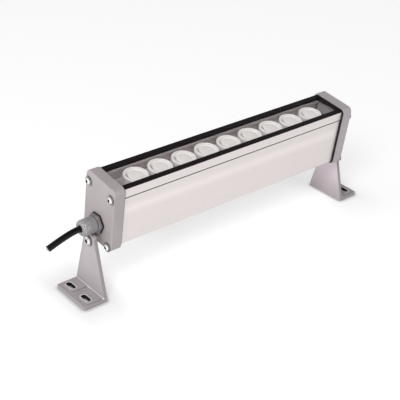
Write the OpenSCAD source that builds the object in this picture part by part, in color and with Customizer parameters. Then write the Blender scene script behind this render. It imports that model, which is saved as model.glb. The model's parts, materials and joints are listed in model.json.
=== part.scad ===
/* [Housing] */
// Length of the aluminium housing between its end gaskets
housing_len = 297; // [285:1:600]
// Width of the housing
body_w = 41.8; // [40:0.2:56]
// Height of the housing with its top rails
body_h = 68.6; // [64:0.2:90]
// Wall of the housing
wall_t = 2.2; // [1.4:0.1:2.8]
// Lip of the housing beside the glass
lip_t = 2.5; // [1.6:0.1:3.4]
// Radius of the lower edges of the housing
bottom_r = 3; // [1:0.1:5]
// Web that carries the circuit board
shelf_t = 2.5; // [1.5:0.1:4]
// Ledge under the glass
ledge_t = 1.6; // [1:0.1:3]
// Distance of the side groove below the top
groove_drop = 11; // [10:0.1:30]
// Height of the side groove
groove_h = 0.9; // [0.4:0.1:2]
// Depth of the side groove
groove_d = 0.7; // [0.3:0.05:0.9]
// How far the sides step in below the groove
side_step = 0.2; // [0:0.05:0.4]
// Least metal round the screw channels
port_wall = 0.7; // [0.6:0.1:1.4]

/* [Glass and rails] */
// Thickness of the glass cover
glass_t = 3.2; // [2:0.1:5]
// Thickness of the strips under the glass
seal_t = 0.8; // [0.5:0.1:2]
// Width of the strips under the glass
seal_w = 1.9; // [1:0.1:3]
// Clear glass between the lenses and the rails
window_gap = 1.9; // [1:0.1:3]
// Height of a rail above the glass
rail_h = 3.1; // [2:0.1:5]
// Thickness of the rail over the housing lip
rail_plate_t = 1; // [0.6:0.1:1.8]
// Width of the black strip across each end of the glass
end_seal_w = 4; // [2:0.5:10]

/* [End caps] */
// Thickness of an end cap
cap_t = 12.3; // [10:0.1:20]
// How far a cap stands out past the housing at the sides
cap_lip_y = 3.1; // [1.5:0.1:6]
// How far a cap stands out past the housing above and below
cap_lip_z = 2.4; // [1.5:0.1:6]
// Corner radius of a cap
cap_r = 6; // [3:0.5:10]
// Rounding of the outer edge of a cap
cap_edge_r = 1.5; // [0.5:0.1:2.5]
// Depth of the pocket inside a cap
pocket_depth = 8; // [7.6:0.1:8.6]
// Thickness of a cap gasket
gasket_t = 1.5; // [0.8:0.1:3]
// How far a gasket stays inside the cap outline
gasket_inset = 1.5; // [0.5:0.1:2.3]

/* [Screws] */
// Thread diameter of a cap screw, drawn as a plain shank
screw_d = 3.3; // [2.5:0.1:4]
// Head diameter of a cap screw
screw_head_d = 7.6; // [5.5:0.1:8.4]
// Head height of a cap screw
screw_head_h = 2.3; // [1.5:0.1:2.8]
// Hexagon socket of a cap screw across flats
screw_socket = 2.5; // [1.5:0.1:3]
// Outer diameter of a cap screw washer
washer_d = 9; // [8.5:0.1:10]
// Thickness of a cap screw washer
washer_t = 1; // [0.5:0.1:1.5]
// Depth of a cap screw in the housing
screw_bite = 12; // [6:0.5:20]

/* [Light engine] */
// Number of lenses
lens_count = 9; // [2:1:9]
// Diameter of a lens
lens_d = 25.8; // [20:0.1:26.8]
// Height of a lens with its holder above the board
lens_h = 12.2; // [10:0.1:14]
// Gap between the lenses and the glass
lens_gap = 0.4; // [0.2:0.1:2]
// Gap between the circuit board and the side walls
board_gap = 1; // [0.5:0.1:2.5]
// Distance between the circuit board and an end of the housing
board_end = 12.6; // [6:0.1:20]
// Thickness of the circuit board
board_t = 1.6; // [1:0.1:3]
// Length of the driver module
driver_len = 160; // [100:1:200]
// Gap between the driver guides and the screw channels
driver_gap = 0.6; // [0.2:0.1:4]
// Height of the driver module
driver_h = 26; // [16:0.5:30]

/* [Cable gland] */
// Clearance between the gland nut and the round end of the bracket
gland_gap = 0.4; // [0.3:0.1:4]
// Gland hexagon across flats
gland_af = 19; // [18:0.1:20]
// Clearance between the gland hexagon and the bracket
hex_gap = 0.7; // [0.3:0.1:2]
// Radius of the gland thread, drawn plain
gland_thread_r = 7.6; // [7:0.1:8]
// Largest radius of the gland nut
gland_nut_r = 8.5; // [8.2:0.1:10]
// Radius of the mouth of the gland nut
gland_mouth_r = 7.3; // [6:0.1:8]
// Reach of the gland beyond the cap
gland_reach = 20.5; // [19:0.5:30]
// Diameter of the cable
cable_d = 6.5; // [5:0.1:7]

/* [Brackets] */
// Height of the tilt axis above the floor
pivot_h = 61; // [50:0.5:120]
// Height of the tilt axis above the bottom of the caps
pivot_z = 4.7; // [4.7:0.1:6]
// Tilt of the head towards the front
tilt = 7; // [-70:1:70]
// Gap between a cap and its bracket
bracket_gap = 5.5; // [5.4:0.1:8]
// Thickness of a bracket upright
bracket_t = 4; // [2.5:0.1:5]
// Radius of the round end of a bracket
bracket_end_r = 9.5; // [7:0.1:12]
// Rim of a foot beside its raised pads
foot_edge = 1.6; // [0.5:0.1:10]
// Rim of a foot beyond its raised pads
foot_tip = 3.35; // [1:0.05:10]
// Thickness of a foot
foot_t = 4; // [2.5:0.1:6]
// Width of a fixing slot
slot_w = 5.5; // [4:0.1:6.5]
// Length of a fixing slot
slot_len = 13; // [8:0.5:16]
// Distance between the two slots of a foot
slot_pitch = 27; // [24:0.5:50]
// Distance of the slots from the upright
slot_out = 14; // [12:0.5:30]
// Height of the raised pads round the slots
pad_h = 1; // [0.4:0.1:2]
// Diameter of a pivot bolt
bolt_d = 6; // [4:0.1:6]
// Head diameter of a pivot bolt
bolt_head_d = 10; // [8:0.1:11]
// Head height of a pivot bolt
bolt_head_h = 2.8; // [2.6:0.1:3.6]

/* [Hidden] */
$fn = 96;

// Overrun of every cut past the faces that it opens
over = 1;
// Gap between a thread and its hole, both drawn plain
thread_fit = 0.05;
// Running gap of a pivot bolt in its bracket
run_fit = 0.06;
// Gap between parts that drop into each other
loose_fit = 0.1;
// Gap round a screw that passes through a cap
clear_fit = 0.5;

// Colours
cap_grey = [0.72, 0.69, 0.69];
bracket_grey = [0.7, 0.67, 0.68];
shell_grey = [0.88, 0.85, 0.84];
black = [0.1, 0.09, 0.09];
steel = [0.85, 0.83, 0.82];
board_grey = [0.42, 0.4, 0.42];

// Heights in the head, measured from the bottom of the caps
body_z0 = cap_lip_z;
body_z1 = body_z0 + body_h;
glass_top = body_z1 - rail_h;
glass_z = glass_top - glass_t;
ledge_top = glass_z - seal_t;
ledge_z = ledge_top - ledge_t;
lens_top = glass_z - lens_gap;
board_top = lens_top - lens_h;
shelf_top = board_top - board_t;
shelf_z = shelf_top - shelf_t;
floor_z = body_z0 + wall_t;
groove_top = body_z1 - groove_drop;
gland_z = pivot_z + bracket_end_r + gland_nut_r + gland_gap;

// Housing
low_w = body_w - 2 * side_step;
inner_w = low_w - 2 * wall_t;
seat_w = body_w - 2 * lip_t;
throat_w = lens_d + 2 * window_gap;
rail_w = (body_w - throat_w) / 2;
port_r = screw_d / 2 + thread_fit;
screw_y = body_w / 2 - port_wall - port_r;
screw_z0 = body_z0 + port_wall + port_r;
screw_z1 = ledge_top - port_wall - port_r;
guide_t = 1.2;
guide_h = 3;
guide_gap = 0.3;
guide_y = screw_y - port_r - port_wall - driver_gap - guide_t;

// Ends of the head
half_len = housing_len / 2;
cap_in = half_len + gasket_t;
cap_out = cap_in + cap_t;
cap_w = body_w + 2 * cap_lip_y;
cap_h = body_h + 2 * cap_lip_z;
cap_wall = cap_t - pocket_depth;
cap_hole_r = screw_d / 2 + clear_fit;
pocket_wall = 2.8;
pocket_w = 2 * (screw_y - cap_hole_r - pocket_wall);
pocket_r = 3;
pocket_z0 = pivot_z + bolt_d / 2 + pocket_wall;
pocket_z1 = shelf_z - wall_t;
boss_r = pivot_z;
friction_t = 1.5;
friction_r = 6.5;
boss_h = bracket_gap - friction_t;

// Rails
rail_line_w = 0.6;
rail_line_d = 0.3;
rail_line_shares = [0.3, 0.7];

// Light engine
board_w = inner_w - 2 * board_gap;
board_len = housing_len - 2 * board_end;
board_margin = 3;
lens_pitch = (board_len - lens_d - 2 * board_margin) / (lens_count - 1);
lens_flange_t = 1.5;
lens_rim = 1.2;
lens_dish = 0.4;
holder_wall = 1.2;
holder_floor = 1.2;
led_r = 4;
led_h = 1.2;
dome_r = 2.6;
led_room = 0.6;
optic_r = 5;
optic_lift = 2.4;
optic_gap = 0.5;
board_screw_r = 1.45;
board_screw_head_r = 2.6;
board_screw_head_h = 1.8;
board_screw_edge = 3;
board_screw_y = board_w / 2 - board_screw_edge;
board_screw_every = 2;
board_screw_bite = 4;
lead_hole_r = 3;
pad_t = 1;
driver_w = 2 * (guide_y - guide_gap);
driver_z = floor_z + pad_t;
terminal_len = 6;
terminal_w = 14;
terminal_h = 10;

// Cable gland
gland_gasket_t = 1.2;
gland_gasket_rim = 0.5;
gland_turn = 20;
gland_hex_out = bracket_gap - hex_gap;
gland_hex_t = gland_hex_out - gland_gasket_t;
sleeve_r = 6.9;
locknut_t = 3;
stem_tail = 1;
stem_end = cap_wall + locknut_t + stem_tail;
nut_mouth_t = 5.7;
nut_roof = gland_reach - nut_mouth_t;
nut_room = 0.8;
sleeve_end = nut_roof - nut_room;
bush_r = 5.5;
bush_floor = 1.4;
bush_start = gland_hex_out + bush_floor;
bush_end = nut_roof - nut_room / 2;
cable_r = cable_d / 2;
cable_gap = 0.1;
mouth_gap = 0.35;
nut_start = gland_hex_out + 2 * loose_fit;
nut_straight = 4.5;
nut_shoulder = nut_start + nut_straight;
nut_ribs = 3;
nut_rib_pitch = 2.2;
nut_rib_w = 1;
nut_rib_h = 0.35;

// Cable route from the gland mouth, outwards and upwards, in round numbers
cable_sides = 12;
cable_route = [[-28, 0], [-14, 0], [0, 0], [8, -0.8], [16, -2.8], [26, -6.2], [36, -10.2]];
// Supply leads from the cut end of the sheath to the driver, inwards and upwards
lead_r = 0.9;
lead_sides = 8;
lead_pitch = 2;
supply_route = [[0, 0], [8, 0], [20, -2], [34, -5], [50, -7], [62, -7.5], [72, -7.5]];
// Two leads from the driver up to the board, outwards and upwards from the driver terminal
led_route = [[0, 0], [5, 0], [10, 2], [14, 8], [15, 16], [15, 24]];

// Brackets
bracket_in = cap_out + bracket_gap;
bracket_out = bracket_in + bracket_t;
slot_x = bracket_out + slot_out;
pad_margin = 3.4;
pad_end = slot_out + slot_w / 2 + pad_margin;
pad_w = slot_len + 2 * pad_margin;
foot_w = slot_pitch + pad_w + 2 * foot_edge;
foot_out = pad_end + foot_tip;
pad_r = 6;
foot_r = 2;
fillet_r = 2.5;
flank_bite = 0.05;
bolt_washer_t = 1;
bolt_washer_d = 12;
bolt_socket = 4;
bolt_depth = 9;
bolt_relief = 0.8;
socket_share = 0.6;

// Shift that centres the tilted head and the feet over the origin
reach_up = cap_h - pivot_z - cap_r;
reach_side = cap_w / 2 - cap_r;
front_reach = max(foot_w / 2, reach_side * cos(tilt) + reach_up * sin(tilt) + cap_r);
back_reach = max(foot_w / 2, reach_side * cos(tilt) - reach_up * sin(tilt) + cap_r,
    reach_side * cos(tilt) + (pivot_z - cap_r) * sin(tilt) + cap_r);
y_shift = (front_reach - back_reach) / 2;

// Puts what is drawn in the upright head on its tilt axis
module on_head()
    translate([0, y_shift, pivot_h])
        rotate([tilt, 0, 0])
            translate([0, 0, -pivot_z])
                children();

// Keeps the right end as drawn and mirrors it for the left end
module at_side(side) {
    if (side < 0)
        mirror([1, 0, 0]) children();
    else
        children();
}

// Turns a flat outline drawn in Y and Z so that its thickness runs along X from the given place
module facing_x(x)
    translate([x, 0, 0])
        rotate([90, 0, 90])
            children();

// Draws an outline of the housing section along the whole housing
module along_housing(length)
    facing_x(-length / 2)
        linear_extrude(length)
            children();

// Rectangle with round corners, centred across and standing on its lower edge
module round_rect(w, h, r) {
    translate([-w / 2, r])
        square([w, h - 2 * r]);
    translate([-w / 2 + r, 0])
        square([w - 2 * r, h]);
    for (s = [-1, 1], z = [r, h - r])
        translate([s * (w / 2 - r), z])
            circle(r);
}

// Slab with round corners and a rounded outer edge
module round_slab(w, h, t, r, edge) {
    module edge_profile(half) {
        square([half, t - edge]);
        square([half - edge, t]);
        translate([half - edge, t - edge])
            circle(edge);
    }
    module full_profile(half) {
        edge_profile(half);
        mirror([1, 0]) edge_profile(half);
    }
    for (s = [-1, 1], z = [r, h - r])
        translate([s * (w / 2 - r), z, 0])
            rotate_extrude()
                edge_profile(r);
    translate([0, h - r, 0])
        rotate([90, 0, 0])
            linear_extrude(h - 2 * r)
                full_profile(w / 2);
    translate([-w / 2 + r, h / 2, 0])
        rotate([90, 0, 90])
            linear_extrude(w - 2 * r)
                full_profile(h / 2);
}

// Flat ring
module ring(outer, inner, t)
    difference() {
        cylinder(r = outer, h = t);
        translate([0, 0, -over])
            cylinder(r = inner, h = t + 2 * over);
    }

// Low domed screw head with a hexagon socket
module button_head(d, h, socket) {
    dome = (d * d / 4 + h * h) / (2 * h);
    difference() {
        rotate_extrude()
            intersection() {
                translate([0, h - dome])
                    circle(dome);
                square([d / 2, h]);
            }
        translate([0, 0, h - h * socket_share])
            cylinder(r = socket / 2 / cos(30), h = h, $fn = 6);
    }
}

// Places of the four cap screws
module at_cap_screws()
    for (s = [-1, 1], z = [screw_z0, screw_z1])
        translate([s * screw_y, z, 0])
            children();

// Tube swept along a route in the X and Z plane
function route_dir(p, i) =
    let (a = p[max(i - 1, 0)], b = p[min(i + 1, len(p) - 1)]) (b - a) / norm(b - a);
function route_ring(p, i, r, n) =
    let (d = route_dir(p, i))
    [for (k = [0 : n - 1]) let (f = 360 * k / n)
        [p[i][0] - d[1] * r * sin(f), r * cos(f), p[i][1] + d[0] * r * sin(f)]];
module tube(p, r, n) {
    last = (len(p) - 1) * n;
    points = [for (i = [0 : len(p) - 1]) each route_ring(p, i, r, n)];
    sides = [for (i = [0 : len(p) - 2], k = [0 : n - 1])
        let (a = i * n + k, b = i * n + (k + 1) % n)
        each [[a, b, b + n], [a, b + n, a + n]]];
    first_end = [for (k = [1 : n - 2]) [0, k + 1, k]];
    last_end = [for (k = [1 : n - 2]) [last, last + k, last + k + 1]];
    polyhedron(points = points, faces = concat(sides, first_end, last_end));
}

// Extruded case that holds the driver below and the light engine above
module housing_outline() {
    low_h = groove_top - groove_h - body_z0;
    translate([0, body_z0]) {
        translate([-low_w / 2, bottom_r])
            square([low_w, low_h - bottom_r]);
        translate([-low_w / 2 + bottom_r, 0])
            square([low_w - 2 * bottom_r, low_h]);
        for (s = [-1, 1])
            translate([s * (low_w / 2 - bottom_r), bottom_r])
                circle(bottom_r);
    }
    translate([-body_w / 2 + groove_d, groove_top - groove_h - over])
        square([body_w - 2 * groove_d, groove_h + 2 * over]);
    translate([-body_w / 2, groove_top])
        square([body_w, body_z1 - rail_plate_t - groove_top]);
}

module housing_ports(r)
    for (s = [-1, 1], z = [screw_z0, screw_z1])
        translate([s * screw_y, z])
            circle(r);

module housing_section() {
    difference() {
        housing_outline();
        difference() {
            union() {
                translate([-inner_w / 2, floor_z])
                    square([inner_w, shelf_z - floor_z]);
                translate([-inner_w / 2, shelf_top])
                    square([inner_w, ledge_z - shelf_top]);
            }
            housing_ports(port_r + port_wall);
        }
        translate([-throat_w / 2, ledge_z - over])
            square([throat_w, ledge_top - ledge_z + 2 * over]);
        translate([-seat_w / 2, ledge_top])
            square([seat_w, rail_h + glass_t + seal_t + over]);
        housing_ports(port_r);
    }
    for (s = [-1, 1])
        translate([s * (guide_y + guide_t / 2) - guide_t / 2, floor_z - wall_t / 2])
            square([guide_t, guide_h + wall_t / 2]);
}

module at_board_screws()
    for (i = [(lens_count - 2) / 2 : -board_screw_every : 0], side = [-1, 1], s = [-1, 1])
        translate([side * i * lens_pitch, s * board_screw_y, 0])
            children();

led_lead_x = driver_len / 2 + terminal_len + led_route[len(led_route) - 1][0];

module housing()
    color(shell_grey)
        on_head()
            difference() {
                along_housing(housing_len)
                    housing_section();
                at_board_screws()
                    translate([0, 0, shelf_z - over])
                        cylinder(r = board_screw_r + thread_fit, h = shelf_t + 2 * over);
                translate([led_lead_x, 0, shelf_z - over])
                    cylinder(r = lead_hole_r, h = shelf_t + 2 * over);
            }

// Clear glass plate over the lenses
module glass_cover()
    color([0.75, 0.8, 0.82, 0.35])
        on_head()
            along_housing(housing_len)
                translate([-seat_w / 2 + loose_fit, glass_z])
                    square([seat_w - 2 * loose_fit, glass_t]);

// Black rail that covers the housing lip and holds the glass down
module rail_section()
    difference() {
        union() {
            translate([body_w / 2 - rail_w, glass_top])
                square([rail_w - lip_t - loose_fit, rail_h]);
            translate([body_w / 2 - rail_w, body_z1 - rail_plate_t])
                square([rail_w, rail_plate_t]);
        }
        for (share = rail_line_shares)
            translate([body_w / 2 - rail_w * share - rail_line_w / 2, body_z1 - rail_line_d])
                square([rail_line_w, rail_line_d + over]);
    }

module front_rail()
    color(black)
        on_head()
            along_housing(housing_len)
                mirror([1, 0]) rail_section();

module rear_rail()
    color(black)
        on_head()
            along_housing(housing_len)
                rail_section();

// Two soft strips between the ledges and the glass
module glass_seal()
    color([0.8, 0.8, 0.8])
        on_head()
            along_housing(housing_len)
                for (s = [-1, 1])
                    translate([s * (seat_w / 2 - loose_fit - seal_w / 2) - seal_w / 2, ledge_top])
                        square([seal_w, seal_t]);

// Black strips of sealant across both ends of the glass
module end_seals()
    color(black)
        on_head()
            for (side = [-1, 1])
                at_side(side)
                    facing_x(half_len - end_seal_w)
                        linear_extrude(end_seal_w)
                            translate([-throat_w / 2 + loose_fit, glass_top])
                                square([throat_w - 2 * loose_fit, rail_h - rail_line_d]);

module circuit_board()
    color(board_grey)
        on_head()
            difference() {
                translate([-board_len / 2, -board_w / 2, shelf_top])
                    cube([board_len, board_w, board_t]);
                at_board_screws()
                    translate([0, 0, shelf_top - over])
                        cylinder(r = board_screw_r + loose_fit, h = board_t + 2 * over);
            }

module board_screws()
    color(steel)
        on_head()
            at_board_screws()
                translate([0, 0, board_top]) {
                    button_head(2 * board_screw_head_r, board_screw_head_h, board_screw_r);
                    translate([0, 0, -board_screw_bite])
                        cylinder(r = board_screw_r, h = board_screw_bite + board_screw_head_h / 4);
                }

module at_lenses()
    for (i = [0 : lens_count - 1])
        translate([(i - (lens_count - 1) / 2) * lens_pitch, 0, board_top])
            children();

module led_emitters()
    color([0.95, 0.9, 0.6])
        on_head()
            at_lenses()
                rotate_extrude() {
                    square([led_r, led_h]);
                    translate([0, led_h])
                        intersection() {
                            circle(dome_r);
                            square(dome_r);
                        }
                }

// Round cup that stands on the board and carries one lens
module lens_holders()
    color([0.82, 0.8, 0.8])
        on_head()
            at_lenses()
                difference() {
                    cylinder(d = lens_d, h = lens_h - lens_flange_t);
                    translate([0, 0, holder_floor])
                        cylinder(r = lens_d / 2 - holder_wall, h = lens_h);
                    translate([0, 0, -over])
                        cylinder(r = led_r + optic_gap, h = holder_floor + 2 * over);
                }

// Collimator lens with a flat flange, a shallow dish on top and a room for the diode below
module lenses()
    color([0.95, 0.93, 0.92])
        on_head()
            at_lenses()
                rotate_extrude()
                    polygon([
                        [0, optic_lift + led_h + dome_r],
                        [dome_r + led_room, optic_lift + led_h + dome_r],
                        [dome_r + led_room, optic_lift],
                        [optic_r, optic_lift],
                        [lens_d / 2 - holder_wall - optic_gap, lens_h - lens_flange_t],
                        [lens_d / 2, lens_h - lens_flange_t],
                        [lens_d / 2, lens_h],
                        [lens_d / 2 - lens_rim, lens_h],
                        [lens_d / 2 - lens_rim, lens_h - lens_dish],
                        [0, lens_h - lens_dish]
                    ]);

// Sealed power supply with a terminal block at each end
module driver_module()
    color([0.3, 0.3, 0.33])
        on_head() {
            translate([-driver_len / 2, -driver_w / 2, driver_z])
                cube([driver_len, driver_w, driver_h]);
            for (side = [-1, 1])
                at_side(side)
                    translate([driver_len / 2, -terminal_w / 2, driver_z])
                        cube([terminal_len, terminal_w, terminal_h]);
        }

module driver_pad()
    color([0.6, 0.7, 0.75])
        on_head()
            translate([-driver_len / 2, -driver_w / 2, floor_z])
                cube([driver_len, driver_w, pad_t]);

// Three cores from the end of the cable sheath to the driver
module supply_leads()
    color([0.45, 0.25, 0.15])
        on_head() {
            start = cap_out + gland_reach + cable_route[0][0];
            route_end = supply_route[len(supply_route) - 1];
            reach = start - driver_len / 2 - terminal_len;
            drop = driver_z + terminal_h / 2 - gland_z;
            for (i = [-1 : 1])
                translate([-start, i * lead_pitch, gland_z])
                    tube([for (p = supply_route)
                        [p[0] / route_end[0] * reach, p[1] / route_end[1] * drop]], lead_r, lead_sides);
        }

// Two cores from the driver up through the web to the underside of the board
module led_leads()
    color([0.7, 0.15, 0.12])
        on_head() {
            rise = shelf_top - driver_z - terminal_h / 2;
            for (s = [-1, 1])
                translate([driver_len / 2 + terminal_len, s * lead_pitch / 2, driver_z + terminal_h / 2])
                    tube([for (p = led_route)
                        [p[0], p[1] / led_route[len(led_route) - 1][1] * rise]], lead_r, lead_sides);
        }

// Cast cap with a pocket inside, four screw holes and a boss for the pivot bolt
module end_cap(side)
    color(cap_grey)
        on_head()
            at_side(side)
                facing_x(cap_in)
                    difference() {
                        union() {
                            round_slab(cap_w, cap_h, cap_t, cap_r, cap_edge_r);
                            translate([0, pivot_z, 0])
                                cylinder(r = boss_r, h = cap_t + boss_h);
                        }
                        translate([0, pocket_z0, -over])
                            linear_extrude(pocket_depth + over)
                                round_rect(pocket_w, pocket_z1 - pocket_z0, pocket_r);
                        at_cap_screws()
                            translate([0, 0, -over])
                                cylinder(r = cap_hole_r, h = cap_t + 2 * over);
                        translate([0, pivot_z, cap_t - bolt_depth - bolt_relief])
                            cylinder(r = bolt_d / 2 + thread_fit,
                                h = bolt_relief + bolt_depth + boss_h + over);
                        if (side < 0)
                            translate([0, gland_z, -over])
                                cylinder(r = gland_thread_r + loose_fit, h = cap_t + 2 * over);
                    }

module left_end_cap() end_cap(-1);
module right_end_cap() end_cap(1);

// Flat black gasket between a cap and the housing
module cap_gasket(side)
    color(black)
        on_head()
            at_side(side)
                facing_x(half_len)
                    difference() {
                        linear_extrude(gasket_t)
                            difference() {
                                translate([0, gasket_inset])
                                    round_rect(cap_w - 2 * gasket_inset, cap_h - 2 * gasket_inset,
                                        cap_r - gasket_inset);
                                translate([0, pocket_z0])
                                    round_rect(pocket_w, pocket_z1 - pocket_z0, pocket_r);
                            }
                        at_cap_screws()
                            translate([0, 0, -over])
                                cylinder(r = screw_d / 2 + loose_fit, h = gasket_t + 2 * over);
                    }

module left_cap_gasket() cap_gasket(-1);
module right_cap_gasket() cap_gasket(1);

module cap_screws(side)
    color(steel)
        on_head()
            at_side(side)
                facing_x(cap_out + washer_t)
                    at_cap_screws() {
                        button_head(screw_head_d, screw_head_h, screw_socket);
                        shank = washer_t + cap_t + gasket_t + screw_bite;
                        translate([0, 0, -shank])
                            cylinder(d = screw_d, h = shank + screw_head_h / 4);
                    }

module left_cap_screws() cap_screws(-1);
module right_cap_screws() cap_screws(1);

module cap_washers(side)
    color(steel)
        on_head()
            at_side(side)
                facing_x(cap_out)
                    at_cap_screws()
                        ring(washer_d / 2, screw_d / 2 + loose_fit, washer_t);

module left_cap_washers() cap_washers(-1);
module right_cap_washers() cap_washers(1);

// Places a piece of the gland on its axis, outwards from the face of the left cap
module on_gland(out)
    on_head()
        at_side(-1)
            facing_x(cap_out + out)
                translate([0, gland_z, 0])
                    children();

module hexagon(af, t)
    rotate(30 + gland_turn)
        cylinder(r = af / 2 / cos(30), h = t, $fn = 6);

module gland_gasket()
    color(black)
        on_gland(0)
            difference() {
                hexagon(gland_af + 2 * gland_gasket_rim, gland_gasket_t);
                translate([0, 0, -over])
                    cylinder(r = gland_thread_r + loose_fit, h = gland_gasket_t + 2 * over);
            }

// Gland body with its thread through the cap, its hexagon and a sleeve for the rubber bush
module gland_body()
    color(cap_grey)
        on_gland(0)
            difference() {
                union() {
                    translate([0, 0, -stem_end])
                        cylinder(r = gland_thread_r, h = stem_end + gland_hex_out);
                    translate([0, 0, gland_gasket_t])
                        hexagon(gland_af, gland_hex_t);
                    cylinder(r = sleeve_r, h = sleeve_end);
                }
                translate([0, 0, -stem_end - over])
                    cylinder(r = cable_r + mouth_gap, h = stem_end + sleeve_end + 2 * over);
                translate([0, 0, bush_start])
                    cylinder(r = bush_r + loose_fit, h = sleeve_end);
            }

module gland_seal()
    color(black)
        on_gland(bush_start)
            ring(bush_r, cable_r + cable_gap, bush_end - bush_start);

// Round cap nut that narrows towards a ribbed mouth
module gland_nut()
    color(cap_grey)
        on_gland(0)
            rotate_extrude()
                difference() {
                    union() {
                        polygon([
                            [0, nut_start],
                            [gland_nut_r, nut_start],
                            [gland_nut_r, nut_shoulder],
                            [gland_mouth_r, gland_reach - nut_rib_w],
                            [gland_mouth_r - nut_rib_h, gland_reach],
                            [0, gland_reach]
                        ]);
                        for (i = [1 : nut_ribs])
                            translate([0, gland_reach - nut_rib_w / 2 - i * nut_rib_pitch])
                                square([gland_mouth_r + nut_rib_h + i * nut_rib_pitch
                                    * (gland_nut_r - gland_mouth_r) / (gland_reach - nut_shoulder),
                                    nut_rib_w]);
                    }
                    translate([0, nut_start - over])
                        square([sleeve_r + loose_fit, nut_roof - nut_start + over]);
                    translate([0, nut_start])
                        square([cable_r + mouth_gap, gland_reach]);
                }

module gland_locknut()
    color(steel)
        on_gland(-cap_wall - locknut_t)
            difference() {
                hexagon(gland_af, locknut_t);
                translate([0, 0, -over])
                    cylinder(r = gland_thread_r + thread_fit, h = locknut_t + 2 * over);
            }

// Supply cable, cut off a short way outside the gland
module cable()
    color(black)
        on_head()
            at_side(-1)
                translate([cap_out + gland_reach, 0, gland_z])
                    tube(cable_route, cable_r, cable_sides);

// Point just inside the round end of a bracket where a straight flank stops
flank_r = bracket_end_r - flank_bite;
flank_at = [foot_w / 2, foot_t - pivot_h];
flank_turn = atan2(flank_at[1], flank_at[0]) + acos(flank_r / norm(flank_at));
flank_top = [flank_r * cos(flank_turn), pivot_h + flank_r * sin(flank_turn)];

module upright_outline() {
    translate([0, pivot_h])
        circle(bracket_end_r);
    polygon([
        [-foot_w / 2, 0],
        [foot_w / 2, 0],
        [foot_w / 2, foot_t],
        flank_top,
        [-flank_top[0], flank_top[1]],
        [-foot_w / 2, foot_t]
    ]);
}

// Foot outline from above, reaching out from the upright with two round corners
module foot_outline() {
    translate([0, -foot_w / 2])
        square([foot_out - foot_r, foot_w]);
    translate([0, -foot_w / 2 + foot_r])
        square([foot_out, foot_w - 2 * foot_r]);
    for (s = [-1, 1])
        translate([foot_out - foot_r, s * (foot_w / 2 - foot_r)])
            circle(foot_r);
}

module pad_outline() {
    translate([0, -pad_w / 2])
        square([pad_end - pad_r, pad_w]);
    translate([0, -pad_w / 2 + pad_r])
        square([pad_end, pad_w - 2 * pad_r]);
    for (s = [-1, 1])
        translate([pad_end - pad_r, s * (pad_w / 2 - pad_r)])
            circle(pad_r);
}

module slot_cut(h) {
    straight = slot_len - slot_w;
    for (s = [-1, 1])
        translate([0, s * straight / 2, 0])
            cylinder(d = slot_w, h = h);
    translate([-slot_w / 2, -straight / 2, 0])
        cube([slot_w, straight, h]);
}

// Cast bracket with a tapering upright, a foot turned outwards and two raised pads
module bracket(side)
    color(bracket_grey)
        translate([0, y_shift, 0])
            at_side(side)
                difference() {
                    union() {
                        facing_x(bracket_in)
                            linear_extrude(bracket_t)
                                upright_outline();
                        translate([bracket_out, 0, 0]) {
                            linear_extrude(foot_t)
                                foot_outline();
                            for (s = [-1, 1])
                                translate([0, s * slot_pitch / 2, 0])
                                    linear_extrude(foot_t + pad_h)
                                        pad_outline();
                        }
                        intersection() {
                            facing_x(bracket_in)
                                linear_extrude(bracket_t + fillet_r)
                                    upright_outline();
                            translate([bracket_out, foot_w / 2, foot_t])
                                rotate([90, 0, 0])
                                    linear_extrude(foot_w)
                                        difference() {
                                            translate([-over, -over])
                                                square(fillet_r + over);
                                            translate([fillet_r, fillet_r])
                                                circle(fillet_r);
                                        }
                        }
                    }
                    translate([bracket_in - over, 0, pivot_h])
                        rotate([0, 90, 0])
                            cylinder(r = bolt_d / 2 + run_fit, h = bracket_t + 2 * over);
                    for (s = [-1, 1])
                        translate([slot_x, s * slot_pitch / 2, -over])
                            slot_cut(foot_t + pad_h + 2 * over);
                }

module left_bracket() bracket(-1);
module right_bracket() bracket(1);

module on_pivot(side, out)
    on_head()
        at_side(side)
            facing_x(cap_out + out)
                translate([0, pivot_z, 0])
                    children();

module pivot_bolt(side)
    color(steel)
        on_pivot(side, bracket_gap + bracket_t + bolt_washer_t) {
            shank = bolt_washer_t + bracket_t + bracket_gap + bolt_depth;
            button_head(bolt_head_d, bolt_head_h, bolt_socket);
            translate([0, 0, -shank])
                cylinder(d = bolt_d, h = shank + bolt_head_h / 4);
        }

module left_pivot_bolt() pivot_bolt(-1);
module right_pivot_bolt() pivot_bolt(1);

module pivot_washer(side)
    color(steel)
        on_pivot(side, bracket_gap + bracket_t)
            ring(bolt_washer_d / 2, bolt_d / 2 + loose_fit, bolt_washer_t);

module left_pivot_washer() pivot_washer(-1);
module right_pivot_washer() pivot_washer(1);

module friction_washer(side)
    color([0.25, 0.25, 0.26])
        on_pivot(side, boss_h)
            ring(friction_r, bolt_d / 2 + loose_fit, friction_t);

module left_friction_washer() friction_washer(-1);
module right_friction_washer() friction_washer(1);

housing();
glass_cover();
front_rail();
rear_rail();
glass_seal();
end_seals();
circuit_board();
board_screws();
led_emitters();
lens_holders();
lenses();
driver_module();
driver_pad();
supply_leads();
led_leads();
left_end_cap();
right_end_cap();
left_cap_gasket();
right_cap_gasket();
left_cap_screws();
right_cap_screws();
left_cap_washers();
right_cap_washers();
gland_gasket();
gland_body();
gland_seal();
gland_nut();
gland_locknut();
cable();
left_bracket();
right_bracket();
left_pivot_bolt();
right_pivot_bolt();
left_pivot_washer();
right_pivot_washer();
left_friction_washer();
right_friction_washer();
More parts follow.
